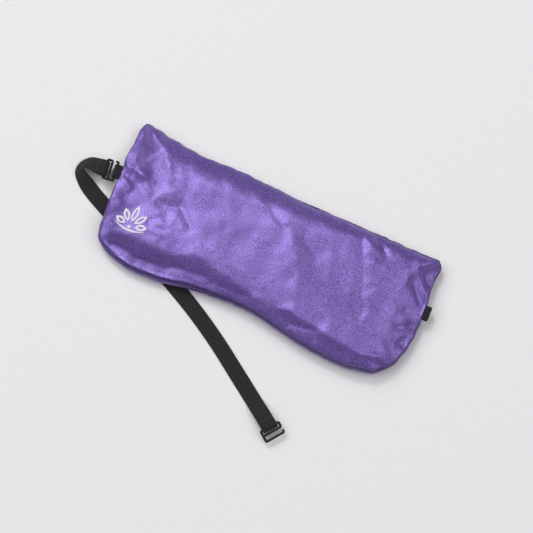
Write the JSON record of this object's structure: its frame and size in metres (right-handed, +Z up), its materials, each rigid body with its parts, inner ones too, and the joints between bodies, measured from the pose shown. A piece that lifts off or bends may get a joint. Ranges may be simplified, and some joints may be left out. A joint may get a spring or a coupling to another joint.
{
  "type": "eye pillow",
  "caption": "Contoured, seed-filled satin eye pillow with a sewn inner pouch, embroidered flower, tape loops and a hooked elastic strap.",
  "frame": {"origin": "under the middle of the pillow, on the surface that it lies on", "axes": "+X along the pillow's length, +Y towards its straight brow edge, +Z up from the back panel to the front panel"},
  "size_m": [0.2782, 0.1706, 0.0215],
  "materials": {
    "satin": "glossy purple satin",
    "seam_thread": "purple sewing thread",
    "muslin": "unbleached cotton muslin",
    "pouch_thread": "white sewing thread",
    "flaxseed": "whole brown flaxseed, loose",
    "embroidery_thread": "white rayon satin stitch",
    "stabiliser": "white non-woven stabiliser",
    "loop_tape": "black woven elastic tape",
    "elastic": "matte black woven elastic",
    "strap_thread": "black sewing thread",
    "hook_coating": "black nylon-coated steel"
  },
  "bodies": {
    "pillow": {"front_panel": "satin", "back_panel": "satin", "cover_seam_thread": "seam_thread", "pouch_front": "muslin", "pouch_back": "muslin", "pouch_seam_thread": "pouch_thread", "flaxseed_fill": "flaxseed", "petal_far_left": "embroidery_thread", "petal_left": "embroidery_thread", "petal_middle": "embroidery_thread", "petal_right": "embroidery_thread", "petal_far_right": "embroidery_thread", "lotus_ripple": "embroidery_thread", "lotus_seed": "embroidery_thread", "embroidery_backing": "stabiliser", "left_loop": "loop_tape", "right_loop": "loop_tape"},
    "left_hook": {"left_hook": "hook_coating"},
    "strap": {"strap": "elastic", "left_end_stitching": "strap_thread"},
    "strap_end": {"strap_free_end": "elastic", "free_end_stitching": "strap_thread"},
    "free_hook": {"free_hook": "hook_coating"}
  },
  "joints": [
    {"name": "left_hook_swing", "type": "hinge", "parent": "pillow", "child": "left_hook", "pos_m": [-0.12306, 0.00893, 0.0095], "axis": [-0.1736, 0.9848, 0], "range_deg": [0, 60]},
    {"name": "strap_swing", "type": "hinge", "parent": "left_hook", "child": "strap", "pos_m": [-0.13104, 0.00752, 0.0095], "axis": [-0.1736, 0.9848, 0], "range_deg": [0, 80]},
    {"name": "strap_stretch", "type": "slide", "parent": "strap", "child": "strap_end", "axis": [0.829, -0.5592, 0], "range_m": [0, 0.1], "stiffness_N_per_m": 12, "deforming": ["strap"]},
    {"name": "free_hook_swing", "type": "hinge", "parent": "strap_end", "child": "free_hook", "pos_m": [0.0582, -0.1077, 0.005], "axis": [0.5592, 0.829, 0], "range_deg": [-95, 95]}
  ]
}
